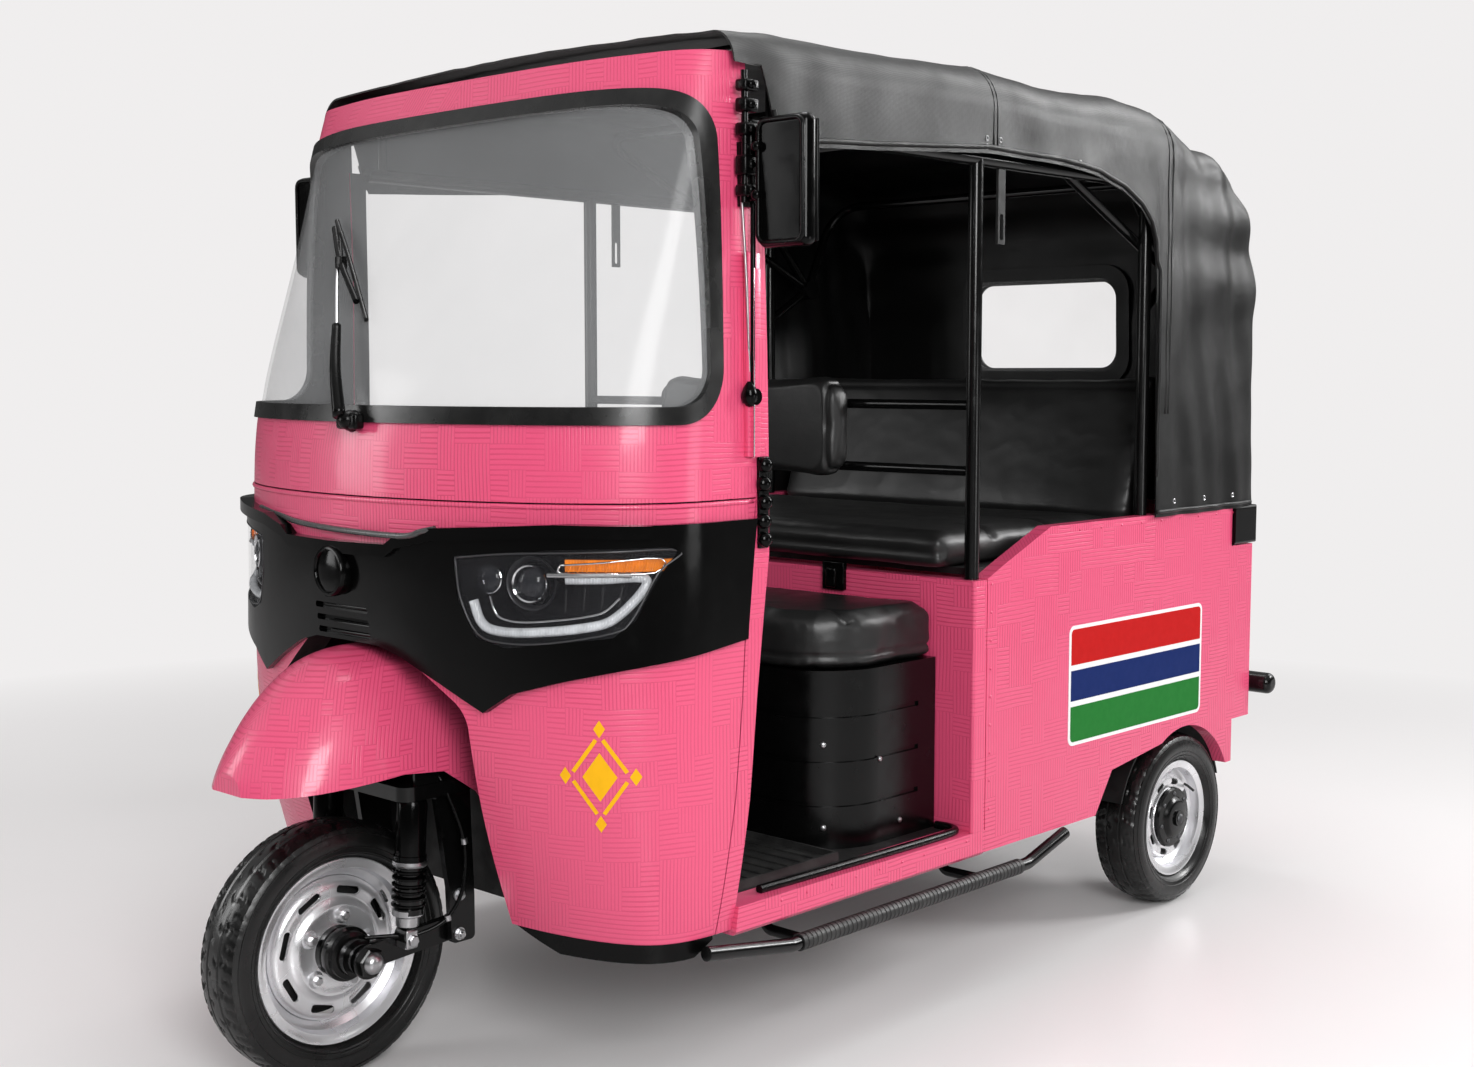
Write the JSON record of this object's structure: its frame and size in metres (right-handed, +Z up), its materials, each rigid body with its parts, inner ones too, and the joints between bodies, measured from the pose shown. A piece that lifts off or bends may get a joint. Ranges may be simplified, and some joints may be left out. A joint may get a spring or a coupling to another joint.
{
  "type": "three-wheeled auto rickshaw",
  "caption": "Passenger auto rickshaw with a bowed cab, folding fabric hood on hoops, open sides, driver's seat and rear bench, steered front wheel and rolling wheels.",
  "frame": {"origin": "on the ground, under the middle of the overall box", "axes": "+Z up, +Y rearwards (the nose faces -Y), +X to the vehicle's left"},
  "size_m": [1.492, 2.6069, 1.8818],
  "materials": {
    "body_paint": "gloss paint",
    "fascia_plastic": "gloss moulded",
    "lamp_lens": "clear polycarbonate",
    "amber_lens": "amber",
    "black_steel": "black paint",
    "black_plastic": "grained",
    "floor_steel": "dark paint",
    "rubber_black": "matte",
    "clear_glass": "clear",
    "clear_vinyl": "clear flexible sheet",
    "seat_vinyl": "grained vinyl",
    "hood_fabric": "coated cloth",
    "tyre_rubber": "matte",
    "wheel_silver": "silver paint",
    "engine_metal": "cast",
    "shaft_steel": "steel",
    "damper_steel": "black paint"
  },
  "bodies": {
    "root": {"front_apron": "body_paint", "cab_frame": "body_paint", "door_frames": "body_paint", "side_sills": "body_paint", "bulkhead": "body_paint", "side_panel_left": "body_paint", "side_panel_right": "body_paint", "rear_panel": "body_paint", "fascia": "fascia_plastic", "headlamp_bowls": "fascia_plastic", "tail_lamps": "fascia_plastic", "headlamp_lenses": "lamp_lens", "turn_signals": "amber_lens", "chassis_frame": "black_steel", "roof_frame": "black_steel", "side_steps": "black_steel", "rear_bumper": "black_steel", "rear_suspension": "black_steel", "plate_bracket": "black_steel", "dashboard": "black_plastic", "wheel_well": "black_plastic", "wheel_liners": "black_plastic", "driver_seat_box": "black_plastic", "rear_deck": "black_plastic", "mirrors": "black_plastic", "wiper": "black_plastic", "floor_pan": "floor_steel", "floor_mat": "rubber_black", "windscreen_seal": "rubber_black", "windscreen_glass": "clear_glass", "rear_window": "clear_vinyl", "driver_cushion": "seat_vinyl", "driver_backrest": "seat_vinyl", "bench_cushion": "seat_vinyl", "bench_backrest": "seat_vinyl", "canopy": "hood_fabric", "grab_straps": "hood_fabric", "engine_block": "engine_metal", "drive_shafts": "shaft_steel", "rear_shocks": "damper_steel"},
    "steering": {"steering_column": "black_steel", "handlebar": "black_steel", "front_fork": "black_steel", "front_links": "black_steel", "front_shocks": "rubber_black", "front_mudguard": "body_paint"},
    "front_wheel": {"front_tyre": "tyre_rubber", "front_rim": "wheel_silver"},
    "rear_wheel_left": {"rear_tyre_left": "tyre_rubber", "rear_rim_left": "wheel_silver"},
    "rear_wheel_right": {"rear_tyre_right": "tyre_rubber", "rear_rim_right": "wheel_silver"}
  },
  "joints": [
    {"name": "steering_turn", "type": "hinge", "parent": "root", "child": "steering", "pos_m": [0, -0.88406, 0.7], "axis": [0, 0.309, 0.9511], "range_deg": [-35, 35]},
    {"name": "front_wheel_spin", "type": "hinge", "parent": "steering", "child": "front_wheel", "pos_m": [0, -1.0715, 0.232], "axis": [1, 0, 0], "continuous": true},
    {"name": "rear_wheel_left_spin", "type": "hinge", "parent": "root", "child": "rear_wheel_left", "pos_m": [0.533, 0.9185, 0.205], "axis": [1, 0, 0], "continuous": true},
    {"name": "rear_wheel_right_spin", "type": "hinge", "parent": "root", "child": "rear_wheel_right", "pos_m": [-0.533, 0.9185, 0.205], "axis": [1, 0, 0], "continuous": true}
  ]
}
